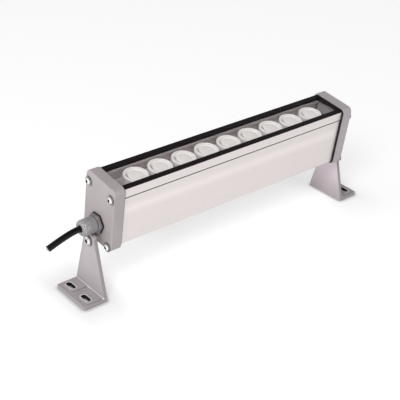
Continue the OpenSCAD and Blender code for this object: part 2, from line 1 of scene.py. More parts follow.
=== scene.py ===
# %% [markdown]
# # An outdoor wall washer light, dressed for a picture
#
# The lamp is a long aluminium case with nine lenses under a strip of glass. Two cast caps close
# its ends, a cable gland lets the supply cable in, and two feet let the whole head tilt.
# The solids come from a CAD model, already in place and in metres. This lesson adds what a solid
# model doesn't hold: finishes, softened edges, moulded lenses, a bent cable, light and a camera.

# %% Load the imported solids
import json
import math

import bmesh
import bpy
import numpy as np
from mathutils import Matrix, Vector


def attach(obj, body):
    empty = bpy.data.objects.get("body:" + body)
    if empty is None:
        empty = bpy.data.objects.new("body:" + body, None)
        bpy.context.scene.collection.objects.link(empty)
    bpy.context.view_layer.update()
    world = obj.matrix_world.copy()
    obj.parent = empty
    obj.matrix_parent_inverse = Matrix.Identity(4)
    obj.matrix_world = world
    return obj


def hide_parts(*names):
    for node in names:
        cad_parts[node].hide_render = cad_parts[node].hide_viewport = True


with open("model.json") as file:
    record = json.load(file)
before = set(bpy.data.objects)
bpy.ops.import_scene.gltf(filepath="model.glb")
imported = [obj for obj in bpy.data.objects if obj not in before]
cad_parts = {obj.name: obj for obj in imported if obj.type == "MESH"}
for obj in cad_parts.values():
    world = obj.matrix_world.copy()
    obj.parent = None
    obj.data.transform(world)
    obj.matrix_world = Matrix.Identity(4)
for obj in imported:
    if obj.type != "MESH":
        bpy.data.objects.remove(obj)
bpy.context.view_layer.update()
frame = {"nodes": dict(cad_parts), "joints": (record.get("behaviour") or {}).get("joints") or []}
nodes = frame["nodes"]

# %% [markdown]
# ## Places that the solids share
#
# The head is drawn upright and then leans forwards about the tilt axis. Pieces that are made here
# are drawn in the same upright head, in the same millimetres, and one matrix brings them home.

# %% The head and its tilt axis
MM = 0.001
TILT = math.radians(7)
PIVOT_HEIGHT = 61 * MM
PIVOT_IN_HEAD = 4.7 * MM
PIVOT_SHIFT = frame["joints"][0]["pos_m"][1]
CAP_FACE = 162.3 * MM
HEAD = (
    Matrix.Translation((0, PIVOT_SHIFT, PIVOT_HEIGHT))
    @ Matrix.Rotation(TILT, 4, "X")
    @ Matrix.Translation((0, 0, -PIVOT_IN_HEAD))
)


def from_head(points):
    """Points of the upright head, in metres, turned and moved to where the leaning head is."""
    turned = np.array(HEAD, float)
    return np.asarray(points, float) @ turned[:3, :3].T + turned[:3, 3]


print("tilt axis at", tuple(round(v, 4) for v in (0, PIVOT_SHIFT, PIVOT_HEIGHT)))

# %% [markdown]
# ## The camera comes first
#
# The picture was taken about a metre away through a long lens, so lines stay almost parallel.
# The angles below were found by laying the edges of the solid over the edges in the photograph.
# The camera is placed from an aim point, a direction and a distance. A small roll turns the
# picture about its own centre, because the photographer's camera wasn't quite level.

# %% Camera
PHOTO_SIDE = 400
FOCAL_PIXELS = 976.14
SENSOR = 36
AZIMUTH = math.radians(-40.63)
ELEVATION = math.radians(30.23)
ROLL = math.radians(2.29)
DISTANCE = 1040.43 * MM
AIM = Vector((-30.0, 3.17, 58.02)) * MM

outwards = math.cos(ELEVATION)
back = Vector((math.sin(AZIMUTH) * outwards, -math.cos(AZIMUTH) * outwards, math.sin(ELEVATION)))
level = Vector((math.cos(AZIMUTH), math.sin(AZIMUTH), 0))
upright = back.cross(level)
across = math.cos(ROLL) * level + math.sin(ROLL) * upright
upward = math.cos(ROLL) * upright - math.sin(ROLL) * level


def in_scene(name, data):
    """A new object that holds the data, linked into the scene."""
    made = bpy.data.objects.new(name, data)
    bpy.context.scene.collection.objects.link(made)
    return made


camera = in_scene("camera", bpy.data.cameras.new("camera"))
camera.data.sensor_width = SENSOR
camera.data.lens = FOCAL_PIXELS * SENSOR / PHOTO_SIDE
facing = Matrix((across, upward, back)).transposed().to_4x4()
camera.matrix_world = Matrix.Translation(AIM + back * DISTANCE) @ facing
bpy.context.scene.camera = camera
print("lens", round(camera.data.lens, 2), "mm")

# %% [markdown]
# ## Writing shader maths as plain sums
#
# A procedural finish is a sum of small patterns. Wiring each sum by hand hides the idea, so three
# small classes do it. A Wire is one output of a node, and plus, minus, times and powers make Math
# nodes. Sums is a tree of nodes, and its node method adds any other node from its kind, what goes
# into it and its settings. A Finish is such a tree with one Principled shader.

# %% Shader helpers
class Wire:
    """One output of a shader node, which can be added, subtracted, multiplied and so on."""

    def __init__(self, sums, socket):
        self.sums = sums
        self.socket = socket

    def math(self, operation, *values):
        return self.sums.node("Math", dict(enumerate(values)), operation=operation)

    def __add__(self, other):
        return self.math("ADD", self, other)

    def __sub__(self, other):
        return self.math("SUBTRACT", self, other)

    def __rsub__(self, other):
        return self.math("SUBTRACT", other, self)

    def __mul__(self, other):
        return self.math("MULTIPLY", self, other)

    def __abs__(self):
        return self.math("ABSOLUTE", self)

    def __pow__(self, other):
        return self.math("POWER", self, other)

    def above(self, other):
        """The larger of the two."""
        return self.math("MAXIMUM", self, other)

    __radd__ = __add__
    __rmul__ = __mul__


class Sums:
    """A node tree in which sums and single nodes are written as plain Python."""

    def __init__(self, tree):
        self.tree = tree

    def join(self, value, socket):
        """Links a wire into a socket, or writes a plain value there."""
        if isinstance(value, Wire):
            self.tree.links.new(value.socket, socket)
        else:
            socket.default_value = value

    def node(self, kind, inputs, output=0, **settings):
        """Adds a node, sets it up first, then fills its sockets, and answers one output."""
        made = self.tree.nodes.new("ShaderNode" + kind)
        for name, value in settings.items():
            setattr(made, name, value)
        for name, value in inputs.items():
            self.join(value, made.inputs[name])
        return Wire(self, made.outputs[output])

    def split(self, vector):
        """The X, Y and Z of a vector, as three wires."""
        return [self.node("SeparateXYZ", {"Vector": vector}, axis) for axis in "XYZ"]

    def ramp(self, value, low, high, first=0.0, last=1.0):
        """Value moved so that low reads first and high reads last, and held between them."""
        ends = {"From Min": low, "From Max": high, "To Min": first, "To Max": last}
        return self.node("MapRange", {"Value": value, **ends}, clamp=True)

    def band(self, value, low, high, soft):
        """1 between low and high, 0 outside, with soft edges."""
        rise = self.ramp(value, low - soft, low + soft)
        return rise * self.ramp(value, high - soft, high + soft, 1.0, 0.0)

    def blend(self, mask, first, second):
        """Shader that goes from first, where the mask is 0, to second, where it is 1."""
        return self.node("MixShader", {0: mask, 1: first, 2: second})

    def looked_at(self):
        """1 for rays that look at something, straight, in a mirror or through glass."""
        ways = ("Is Camera Ray", "Is Glossy Ray", "Is Transmission Ray")
        camera_ray, mirror_ray, glass_ray = (self.node("LightPath", {}, way) for way in ways)
        return camera_ray.above(mirror_ray).above(glass_ray)


class Finish(Sums):
    """A material that starts as one Principled shader with constant values."""

    def __init__(self, name, constants):
        self.material = bpy.data.materials.new(name)
        self.material.use_nodes = True
        super().__init__(self.material.node_tree)
        self.shader = self.tree.nodes["Principled BSDF"]
        self.own = Wire(self, self.shader.outputs[0])
        self.surface = self.tree.nodes["Material Output"].inputs["Surface"]
        for socket, value in constants.items():
            self.shader.inputs[socket].default_value = value

    def feed(self, **wires):
        """Feeds varying values to the Principled shader: base_color=wire goes to Base Color."""
        for name, wire in wires.items():
            self.join(wire, self.shader.inputs[name.replace("_", " ").title()])

    def paint(self, mask, colour):
        """Lays another colour over the finish, where the mask is 1."""
        self.colour = self.mix(mask, self.colour, colour)
        self.feed(base_color=self.colour)

    def place(self, centre=(0, 0, 0), turn=0.0, scale=(1, 1, 1)):
        """The piece's own coordinates, centred on a point and turned about X before scaling."""
        read = self.node("TexCoord", {}, "Object")
        moves = {"Location": centre, "Rotation": (turn, 0, 0), "Scale": tuple(1 / s for s in scale)}
        return self.node("Mapping", {"Vector": read, **moves}, vector_type="TEXTURE")

    def in_head(self, scale=(1, 1, 1)):
        """Coordinates that start on the tilt axis and lean with the head."""
        return self.place((0, PIVOT_SHIFT, PIVOT_HEIGHT), TILT, scale)

    def mark(self, name):
        """A number that the mesh carries on its points."""
        return self.node("Attribute", {}, "Fac", attribute_name=name)

    def openness(self, reach):
        """1 in the open, and less where surfaces within reach hide much of the sky."""
        return self.node("AmbientOcclusion", {"Distance": reach}, "AO", samples=8)

    def noise(self, place, scale, detail=2.0, roughness=0.5):
        values = {"Vector": place, "Scale": scale, "Detail": detail, "Roughness": roughness}
        return self.node("TexNoise", values)

    def mix(self, mask, first, second):
        """Colour that goes from first, where the mask is 0, to second, where it is 1."""
        return self.node("Mix", {0: mask, 6: first, 7: second}, 2, data_type="RGBA")

    def bump(self, height, depth, strength=1.0):
        values = {"Height": height, "Distance": depth, "Strength": strength}
        return self.node("Bump", values)


def shade(colour, times):
    """A colour made lighter or darker, with its opacity kept."""
    return tuple(min(c * times, 1.0) for c in colour[:3]) + (1.0,)


print("shader helpers ready")

# %% [markdown]
# ## Finishes of the castings
#
# The caps, the gland and the brackets are die castings with a thin grey powder coat. Up close
# such a coat is an even, slightly pebbled film: small soft dimples, a little cloudiness in the
# colour, and gloss that changes with the dimples. Three noises at three sizes give that.
# Shade is painted into corners: a point is in a corner when other surfaces hide much of its sky
# within a few millimetres, and there the coat turns darker.
# Most castings have their own grey, and the right cap's is paler and bluer than the left cap's. The
# rest is painted light and shade: painted shade low on the outer faces of the caps, and on the
# brackets low down and on their slanting flanks. The backs of the uprights are painted paler as if
# lit, the fold of each foot carries a painted highlight, and painted shade fills the line round its
# pads and its slots.

# %% Powder coat
# Colours for painted shade: a dark grey, and a nearly black one for the deepest shade.
PAINTED_SHADE = (0.1, 0.092, 0.095, 1)
BLACK_SHADE = shade(PAINTED_SHADE, 0.12)
CREVICE = 7.0 * MM
CREVICE_OPEN = (0.25, 0.85)
CREVICE_SHADE = 0.7
CLOUDS = 45.0
DIMPLES = 1300.0
GRAINS = 3800.0


def powder_coat(name, colour):
    """Cloudy colour from a coarse noise, and gloss and dimples from two fine ones."""
    coat = Finish(name, {"Specular IOR Level": 0.4})
    where = coat.place()
    cloud = coat.noise(where, CLOUDS, 3.0)
    dimple = coat.noise(where, DIMPLES)
    grain = coat.noise(where, GRAINS, 1.0)
    cloudy = coat.ramp(cloud + 0.35 * (grain - 0.5), 0.25, 0.75)
    clean = coat.mix(cloudy, shade(colour, 0.95), shade(colour, 1.05))
    # Painted shade in corners: darker where surfaces within a few millimetres hide the sky.
    corner_shade = coat.ramp(coat.openness(CREVICE), *CREVICE_OPEN, CREVICE_SHADE, 0.0)
    coat.colour = coat.mix(corner_shade, clean, PAINTED_SHADE)
    coat.feed(
        base_color=coat.colour,
        roughness=0.4 + 0.16 * dimple + 0.06 * cloud,
        normal=coat.bump(dimple + 0.4 * grain, 0.00005, 0.5),
    )
    return coat


LEFT_CAP_GREY = (0.435, 0.39, 0.393, 1)
RIGHT_CAP_GREY = (0.466, 0.429, 0.448, 1)
BRACKET_GREY = (0.485, 0.44, 0.45, 1)
# The slot rims are painted paler than the pads, as a painted highlight.
SLOT_RIM_HIGHLIGHT_GREY = (0.72, 0.67, 0.68, 1)
GLAND_GREY = (0.208, 0.198, 0.205, 1)
NUT_GREY = (0.26, 0.247, 0.258, 1)
LIT_MOUTH_GREY = (0.31, 0.297, 0.31, 1)
left_cap_coat = powder_coat("left_cap_powder_coat", LEFT_CAP_GREY)
right_cap_coat = powder_coat("right_cap_powder_coat", RIGHT_CAP_GREY)
nut_coat = powder_coat("gland_nut_coat", NUT_GREY)
body_coat = powder_coat("gland_body_coat", GLAND_GREY)
bracket_coat = powder_coat("bracket_powder_coat", BRACKET_GREY)
rim_highlight_coat = powder_coat("slot_rim_highlight_coat", SLOT_RIM_HIGHLIGHT_GREY)

# %% Painted shade on the lower half of the outer faces of the caps
FACE_DEPTH = (0.5 * MM, 0.3 * MM)
FACE_SHADE_TO = 62.0 * MM
FACE_SHADE = 0.84
# Painted shade: the outer face of each cap darkens towards its bottom.
for coat, grey in ((left_cap_coat, LEFT_CAP_GREY), (right_cap_coat, RIGHT_CAP_GREY)):
    cap_x, _, cap_z = coat.split(coat.in_head())
    on_face = coat.ramp(abs(cap_x), CAP_FACE - FACE_DEPTH[0], CAP_FACE - FACE_DEPTH[1])
    coat.paint(on_face * coat.ramp(cap_z, 0.0, FACE_SHADE_TO, 1.0, 0.0), shade(grey, FACE_SHADE))

# %% Painted light and glints on the gland's mouth, and painted shade at its seat
LIT_MOUTH_FROM = 11.0 * MM
LIT_MOUTH_TO = 18.0 * MM
GLINT_WHITE = (0.82, 0.79, 0.8, 1)
GLINT_SCALE = 750.0
GLINT_LEVELS = (0.56, 0.66)
GLINT_SHARE = 0.8
SEAT_SHADE_LINE = (0.9 * MM, 1.7 * MM)
THIN_SOFT = 0.05 * MM


def beyond_cap(finish):
    """How far a point lies outside the left cap's face, along the gland's axis."""
    return finish.split(finish.in_head())[0] * -1 - CAP_FACE


# Painted light: the nut pales towards its mouth, which faces the light, with painted glints there.
lit_mouth = nut_coat.ramp(beyond_cap(nut_coat), LIT_MOUTH_FROM, LIT_MOUTH_TO)
glints = nut_coat.ramp(nut_coat.noise(nut_coat.place(), GLINT_SCALE), *GLINT_LEVELS)
nut_coat.paint(lit_mouth, LIT_MOUTH_GREY)
nut_coat.paint(glints * lit_mouth * GLINT_SHARE, GLINT_WHITE)
# Painted shade: a dark line on the gland body next to the gasket.
body_coat.paint(body_coat.band(beyond_cap(body_coat), *SEAT_SHADE_LINE, THIN_SOFT), BLACK_SHADE)

# %% Painted light, shade and highlights on the brackets
FOOT_TOP = 4.0 * MM
PAD_LINE = (FOOT_TOP + 0.12 * MM, FOOT_TOP + 0.5 * MM)
PAD_START = 174.4 * MM
PAD_SHADE = 0.8
FOLD_EDGE = (171.6 * MM, 172.8 * MM)
FOLD_TOP = 5.2 * MM
FOLD_HIGHLIGHT = 1.6
LOW_DOWN = (3.0 * MM, 45.0 * MM)
LOW_SHARE = 0.6
LOW_SHADE = 0.7
UPRIGHT_BACK = 168.0 * MM
LIT_BACK_GREY = (0.78, 0.68, 0.735, 1)
BACK_LOW_SHADE_EXTRA = 0.4
FLANK_TURN = math.radians(14.95)
FLANK_R = 9.45 * MM
FLANK_SHADE = 0.7
LINE_SOFT = 0.1 * MM
coat = bracket_coat
foot_x, foot_y, foot_z = coat.split(coat.place())
foot_x = abs(foot_x)
# Painted light: the backs of the uprights are paler, as if lit.
lit_back = coat.ramp(foot_x, UPRIGHT_BACK, UPRIGHT_BACK + LINE_SOFT, 1.0, 0.0)
coat.paint(lit_back, LIT_BACK_GREY)
# Painted shade: darker towards the foot, and more so on the backs of the uprights.
low_down_shade = coat.ramp(foot_z, *LOW_DOWN, LOW_SHARE, 0.0) * (1 + BACK_LOW_SHADE_EXTRA * lit_back)
coat.paint(low_down_shade, shade(BRACKET_GREY, LOW_SHADE))
# Painted shade on the slanting flanks of the uprights.
flank_run = math.cos(FLANK_TURN) * abs(foot_y - PIVOT_SHIFT)
flank_run = flank_run + math.sin(FLANK_TURN) * (foot_z - PIVOT_HEIGHT)
shaded_flank = coat.ramp(flank_run, FLANK_R - 2 * LINE_SOFT, FLANK_R - LINE_SOFT)
coat.paint(shaded_flank, shade(BRACKET_GREY, FLANK_SHADE))
# Painted highlight along the fold of each foot.
fold_light = coat.band(foot_z, FOOT_TOP - LINE_SOFT, FOLD_TOP, LINE_SOFT)
fold_light = coat.band(foot_x, *FOLD_EDGE, LINE_SOFT) * fold_light
coat.paint(fold_light, shade(BRACKET_GREY, FOLD_HIGHLIGHT))
# Painted shade in the line round the foot of the pads.
pad_line_shade = coat.band(foot_z, *PAD_LINE, LINE_SOFT)
pad_line_shade = pad_line_shade * coat.ramp(foot_x, PAD_START, PAD_START + LINE_SOFT)
coat.paint(pad_line_shade * PAD_SHADE, PAINTED_SHADE)

# %% Painted shade on the walls of the fixing slots
SLOT_X = 185.8 * MM
SLOT_PITCH = 27 * MM
SLOT_R = 2.75 * MM
SLOT_STRAIGHT = 7.5 * MM
PAD_TOP = 5.0 * MM
WALL_R = SLOT_R + 0.2 * MM
slot_end = abs(abs(foot_y - PIVOT_SHIFT) - SLOT_PITCH / 2) - SLOT_STRAIGHT / 2
slot_end = slot_end.above(0.0)
slot_side = foot_x - SLOT_X
from_slot = (slot_side * slot_side + slot_end * slot_end) ** 0.5
# Painted shade: the walls of the slots are nearly black.
coat.paint(coat.ramp(from_slot, WALL_R, WALL_R + LINE_SOFT, 1.0, 0.0), BLACK_SHADE)
print("castings:", left_cap_coat.material.name, bracket_coat.material.name)

# %% [markdown]
# ## Finishes of the extrusions
#
# The case and the rails are pressed through a die, so every mark on them runs along the lamp.
# A noise that is squeezed hard across the lamp turns into fine lines along it. On the pale
# anodised case the lines are faint. One paler band along the case is a painted sheen, and the
# narrow groove above it is painted dark as its shade.

# %% Anodised aluminium
FINE_LINES = (9.0, 2600.0, 2600.0)
BROAD_LINES = (3.0, 260.0, 260.0)


def anodised(name, colour, metal, gloss, shine):
    """Anodised metal: faint lines along the lamp in colour, gloss and height."""
    finish = Finish(name, {"Metallic": metal, "Specular IOR Level": shine})
    fine = finish.noise(finish.in_head(FINE_LINES), 1.0, 3.0, 0.6)
    broad = finish.noise(finish.in_head(BROAD_LINES), 1.0, 3.0, 0.6)
    cloud = finish.noise(finish.place(), 30.0)
    lines = finish.ramp(fine * 0.5 + broad * 0.3 + cloud * 0.2, 0.35, 0.65)
    finish.colour = finish.mix(lines, shade(colour, 0.975), shade(colour, 1.02))
    finish.feed(
        base_color=finish.colour,
        roughness=gloss + 0.1 * fine + 0.06 * cloud,
        normal=finish.bump(fine, 0.00001, 0.4),
    )
    return finish


SHELL_PALE = (0.79, 0.732, 0.724, 1)
RAIL_BLACK = (0.0085, 0.005, 0.006, 1)
shell_finish = anodised("pale_anodising", SHELL_PALE, 0.55, 0.34, 0.5)
rail_finish = anodised("black_anodising", RAIL_BLACK, 0.0, 0.34, 0.12)

# %% Painted sheen and painted groove shade of the case
GROOVE = (54.2 * MM, 55.5 * MM)
GROOVE_FROM = 19.4 * MM
GROOVE_SHADE = shade(PAINTED_SHADE, 0.25)
SHEEN_AT = 40.0 * MM
SHEEN_HALF = 8.0 * MM
SHEEN_SHARE = 0.75
SHEEN_PALE = shade(SHELL_PALE, 1.16)
_, shell_y, shell_z = shell_finish.split(shell_finish.in_head())
# Painted shade in the groove along the case.
groove_line_shade = shell_finish.band(shell_z, *GROOVE, THIN_SOFT)
groove_line_shade = groove_line_shade * shell_finish.ramp(abs(shell_y), GROOVE_FROM, GROOVE_FROM + LINE_SOFT)
# Painted sheen: one paler band along the case.
sheen = shell_finish.ramp(abs(shell_z - SHEEN_AT), 0.0, SHEEN_HALF, SHEEN_SHARE, 0.0)
shell_finish.paint(sheen, SHEEN_PALE)
shell_finish.paint(groove_line_shade, GROOVE_SHADE)
print("extrusions:", shell_finish.material.name, rail_finish.material.name)

# %% [markdown]
# ## Rubber, nylon and cable jacket
#
# Gaskets are matt and nearly black, with a dusty bloom. The jacket of the cable is smoother, and
# the cups, the pads and the cores inside are paler or coloured. Each is one function with other
# numbers. Where a gasket shows under the glass, it wears a grey primer, as the plates there do.

# %% Rubber and plastics
def moulded(name, colour, gloss, bloom, scale, depth, shine=0.5):
    """Moulded rubber or plastic: a soft bloom in the colour and a fine moulded grain."""
    finish = Finish(name, {"Specular IOR Level": shine})
    where = finish.place()
    haze = finish.ramp(finish.noise(where, scale * 0.08, 3.0), 0.3, 0.75)
    grain = finish.noise(where, scale)
    finish.colour = finish.mix(haze, colour, shade(colour, bloom))
    finish.feed(
        base_color=finish.colour,
        roughness=gloss + 0.12 * grain,
        normal=finish.bump(grain, depth, 0.5),
    )
    return finish


BLACK_RUBBER = ((0.011, 0.008, 0.009, 1), 0.62, 1.9, 2400, 0.00004, 0.2)
gasket_rubber = moulded("gasket_rubber", *BLACK_RUBBER)
end_rubber = moulded("end_gasket_rubber", *BLACK_RUBBER)
jacket_rubber = moulded("cable_jacket", (0.004, 0.004, 0.0045, 1), 0.2, 1.6, 1500, 0.00002, 0.22)
bush_rubber = moulded("gland_bush", (0.016, 0.015, 0.015, 1), 0.6, 1.6, 1800, 0.00003)
strip_rubber = moulded("glass_strip", (0.5, 0.49, 0.49, 1), 0.55, 1.15, 1500, 0.00003)
washer_nylon = moulded("washer_nylon", (0.05, 0.05, 0.052, 1), 0.42, 1.4, 1400, 0.00002)
driver_case = moulded("driver_case", (0.07, 0.07, 0.078, 1), 0.5, 1.35, 900, 0.00005)
heat_pad = moulded("heat_pad", (0.42, 0.5, 0.56, 1), 0.7, 1.15, 1200, 0.00004)
supply_jacket = moulded("supply_core", (0.2, 0.07, 0.03, 1), 0.4, 1.3, 1200, 0.00002)
led_jacket = moulded("led_core", (0.36, 0.02, 0.015, 1), 0.4, 1.3, 1200, 0.00002)
cup_plastic = moulded("lens_cup", (0.84, 0.79, 0.8, 1), 0.4, 1.08, 1500, 0.00002)
diode_gel = moulded("diode_gel", (0.8, 0.62, 0.16, 1), 0.18, 1.12, 1100, 0.00001)
print("moulded finishes ready")

# %% Grey primer on the gaskets, behind the glass
WINDOW_HALF = 14.7 * MM
WINDOW_LEVELS = (52.0 * MM, 69.2 * MM)
PRIMER_GREY = (0.3, 0.27, 0.285, 1)
_, end_y, end_z = end_rubber.split(end_rubber.in_head())
primed = end_rubber.band(end_z + PIVOT_IN_HEAD, *WINDOW_LEVELS, LINE_SOFT)
primed = primed * end_rubber.ramp(abs(end_y), WINDOW_HALF, WINDOW_HALF + LINE_SOFT, 1.0, 0.0)
end_rubber.paint(primed, PRIMER_GREY)
plate_paint = moulded("end_plate_paint", PRIMER_GREY, 0.45, 1.1, 1500, 0.00002)

# %% Lens plastic
LENS_IVORY = (0.93, 0.895, 0.875, 1)
# Painted light on the lenses: a highlight on the rim, shade on one side of the step, a reflection
# inside it.
LENS_LIGHT_MARKS = {
    "rim": (0.985, 0.97, 0.955, 1),
    "step": (0.12, 0.1, 0.1, 1),
    "flash": (1.0, 0.98, 0.96, 1),
}
LENS_PAINTED_GLOW = 0.14
lens_plastic = moulded("lens_plastic", LENS_IVORY, 0.12, 1.03, 600, 0.000004)
for mark, colour in LENS_LIGHT_MARKS.items():
    lens_plastic.paint(lens_plastic.mark(mark), colour)
# The lenses glow a little, as painted light.
lens_plastic.feed(emission_color=lens_plastic.colour)
lens_plastic.shader.inputs["Emission Strength"].default_value = LENS_PAINTED_GLOW

# %% [markdown]
# ## Steel, board and glass
#
# The screws are bright stainless steel with fine turning marks. The shade in their sockets, under
# their heads and round their washers is painted nearly black. Their washers are greyer. The
# board carries two printed tracks beside the lenses.
# The glass is clear: the room's light passes straight through it, so that what lies below it
# isn't black, and everything that looks at it sees real glass.

# %% Stainless steel
def turned_steel(name, colour, gloss):
    """Bright metal: turning marks in the gloss, and a haze in the colour."""
    steel = Finish(name, {"Metallic": 1.0})
    where = steel.place()
    marks = steel.noise(where, 2600.0, 2.0, 0.65)
    haze = steel.noise(where, 240.0)
    hazy = steel.ramp(haze, 0.3, 0.7)
    steel.colour = steel.mix(hazy, shade(colour, 0.9), shade(colour, 1.05))
    steel.feed(
        base_color=steel.colour,
        roughness=gloss + 0.12 * marks + 0.06 * haze,
        normal=steel.bump(marks, 0.000012, 0.4),
    )
    return steel


STEEL = (0.93, 0.9, 0.89, 1)
SCREW_SHADE = (0.012, 0.011, 0.011, 1)
SCREW_METAL = 0.45
HIDDEN_SHADE = 0.75
WASHER_SHADE = 0.42


def shade_marked_steel(name, colour):
    """Turned steel with painted shade: nearly black, and no longer metal, where its mesh is marked."""
    steel = turned_steel(name, colour, 0.2)
    # Painted shade: nearly black where the mesh is marked.
    grease = steel.mark("grease")
    steel.paint(grease, SCREW_SHADE)
    steel.feed(metallic=SCREW_METAL * (1 - grease))
    return steel


plain_steel = turned_steel("plain_steel", shade(STEEL, HIDDEN_SHADE), 0.3)
screw_steel = shade_marked_steel("screw_steel", STEEL)
washer_steel = shade_marked_steel("washer_steel", shade(STEEL, WASHER_SHADE))

# %% Circuit board
TRACK_AT = 14.6 * MM
TRACK_EDGE = (0.45 * MM, 0.65 * MM)
TRACK_SHARE = 0.8
MASK_GREY = (0.6, 0.555, 0.565, 1)
TRACK_GREY = (0.74, 0.7, 0.68, 1)

board = Finish("board_mask", {"Specular IOR Level": 0.45})
_, board_y, _ = board.split(board.in_head())
track = board.ramp(abs(abs(board_y) - TRACK_AT), *TRACK_EDGE, 1.0, 0.0)
mask_cloud = board.noise(board.place(), 160.0, 3.0)
board.colour = board.mix(mask_cloud, shade(MASK_GREY, 0.93), shade(MASK_GREY, 1.07))
board.paint(track * TRACK_SHARE, TRACK_GREY)
gloss = 0.42 - 0.12 * track + 0.1 * mask_cloud
board.feed(roughness=gloss, normal=board.bump(track, 0.00006, 0.6))

# %% Cover glass
GLASS_TINT = (1.0, 0.985, 0.985, 1)
GLASS = {"Base Color": GLASS_TINT, "Roughness": 0.0, "IOR": 1.5, "Transmission Weight": 1.0}
glass_finish = Finish("cover_glass", GLASS)
clear = glass_finish.node("BsdfTransparent", {})
glass = glass_finish.blend(glass_finish.looked_at(), clear, glass_finish.own)
glass_finish.join(glass, glass_finish.surface)
print("steel, board and glass ready")

# %% [markdown]
# ## Dressing the solids that stay
#
# Most solids already have the right shape. They keep their mesh and only change their material:
# the list pairs each finish with the solids that wear it.

# %% Finishes for the CAD nodes
DRESS = {
    shell_finish: ["housing"],
    glass_finish: ["glass_cover"],
    rail_finish: ["front_rail", "rear_rail"],
    strip_rubber: ["glass_seal"],
    gasket_rubber: ["gland_gasket"],
    end_rubber: ["left_cap_gasket", "right_cap_gasket"],
    board: ["circuit_board"],
    plain_steel: ["board_screws", "gland_locknut"],
    diode_gel: ["led_emitters"],
    cup_plastic: ["lens_holders"],
    driver_case: ["driver_module"],
    heat_pad: ["driver_pad"],
    supply_jacket: ["supply_leads"],
    led_jacket: ["led_leads"],
    left_cap_coat: ["left_end_cap"],
    right_cap_coat: ["right_end_cap"],
    bush_rubber: ["gland_seal"],
    washer_nylon: ["left_friction_washer", "right_friction_washer"],
}
for finish, names in DRESS.items():
    for name in names:
        slots = nodes[name].data.materials
        slots.clear()
        slots.append(finish.material)
print("dressed:", sum(len(names) for names in DRESS.values()), "solids")

# %% [markdown]
# ## Turned shapes
#
# Lenses, nuts and screw heads come off a lathe or out of a round mould. Each is a profile that is
# carried round an axis, so one grid of points holds the whole piece: one row for each angle and
# one column for each point of the profile. Real corners are never quite sharp, so the profile's
# corners are bent first. Copies of the same grid make sets, such as nine lenses.

# %% Grids and profiles
WELD = 0.001 * MM
SHARP = math.radians(32)


def softened(profile, reach, steps=4):
    """Bends each corner P into (1-t)^2 A + 2t(1-t) P + t^2 B.

    A and B lie on the two sides of the corner, a reach away or in the middle of a short side.
    The first and last point stay.
    """
    corner = profile[1:-1]
    ends = []
    for other in (profile[:-2], profile[2:]):
        side = np.linalg.norm(other - corner, axis=1)
        ends.append(corner + (other - corner) * np.minimum(reach / side, 0.5)[:, None])
    t = np.linspace(0, 1, steps + 1)[:, None, None]
    bent = (1 - t) ** 2 * ends[0] + 2 * t * (1 - t) * corner + t**2 * ends[1]
    bent = bent.transpose(1, 0, 2).reshape(-1, profile.shape[1])
    return np.vstack([profile[:1], bent, profile[-1:]])


def spun(profile, sides, outline=None):
    """Points (r cos a, r sin a, h) for each angle a and each profile point (r, h).

    An outline may change r: it is called with the angles and the profile and answers r.
    """
    a = np.linspace(0, 2 * np.pi, sides, endpoint=False)[:, None]
    r = profile[:, 0] + 0 * a if outline is None else outline(a, profile)
    return np.stack([r * np.cos(a), r * np.sin(a), profile[:, 1] + 0 * a], axis=-1)


def grid_faces(rings, points, closed=False):
    """Quads between neighbours of a grid whose rings meet, and whose profile may close too."""
    ring = np.arange(rings)[:, None]
    point = np.arange(points if closed else points - 1)[None, :]
    corners = ((ring, point), (ring + 1, point), (ring + 1, point + 1), (ring, point + 1))
    quads = np.stack([(r % rings) * points + p % points for r, p in corners], axis=-1)
    return quads.reshape(-1, 4)


def copies(grid, faces, places):
    """The same grid at each place: points move by the place, faces by the number of points."""
    points = grid.reshape(1, -1, 3) + np.asarray(places)[:, None, :]
    steps = np.arange(len(places))[:, None, None] * points.shape[1]
    return points.reshape(-1, 3), (faces[None] + steps).reshape(-1, 4)


print("grid helpers ready")


# %% From a grid to a piece
def finished(name, mesh, finish, body, replaced):
    """Smooths a mesh up to its sharp edges, dresses it, and hands it to a body."""
    mesh.shade_smooth()
    mesh.set_sharp_from_angle(angle=SHARP)
    mesh.materials.clear()
    mesh.materials.append(finish.material)
    piece = in_scene(name, mesh)
    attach(piece, body)
    if replaced:
        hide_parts(*replaced)
    return piece


def closed_piece(name, points, faces, finish, body, replaced, slot, **marks):
    """A closed mesh from points and quads: doubles merged, faces turned outwards."""
    mesh = bpy.data.meshes.new(name)
    mesh.from_pydata(points, [], faces)
    for mark, values in marks.items():
        held = mesh.attributes.new(mark, "FLOAT", "POINT")
        held.data.foreach_set("value", np.ascontiguousarray(values, np.float32).ravel())
    tidy = bmesh.new()
    tidy.from_mesh(mesh)
    bmesh.ops.remove_doubles(tidy, verts=tidy.verts, dist=WELD)
    bmesh.ops.recalc_face_normals(tidy, faces=tidy.faces)
    tidy.to_mesh(mesh)
    tidy.free()
    print(name, len(mesh.polygons), "faces")
    return finished(name, mesh, finish, body, replaced)


# %% [markdown]
# ## Nine moulded lenses
#
# Each lens is a clear block over one diode: a funnel below, a round plate with a raised rim on
# top. Inside the rim the plate steps down once and then swells to a low dome. The step shows as
# an arc: painted shade where it faces away from the light, and a painted reflection inside it.
# The rim carries a painted highlight. The plastic looks white, because the funnel throws all the
# light from above back out, so it is drawn white, and it glows a little as painted light.

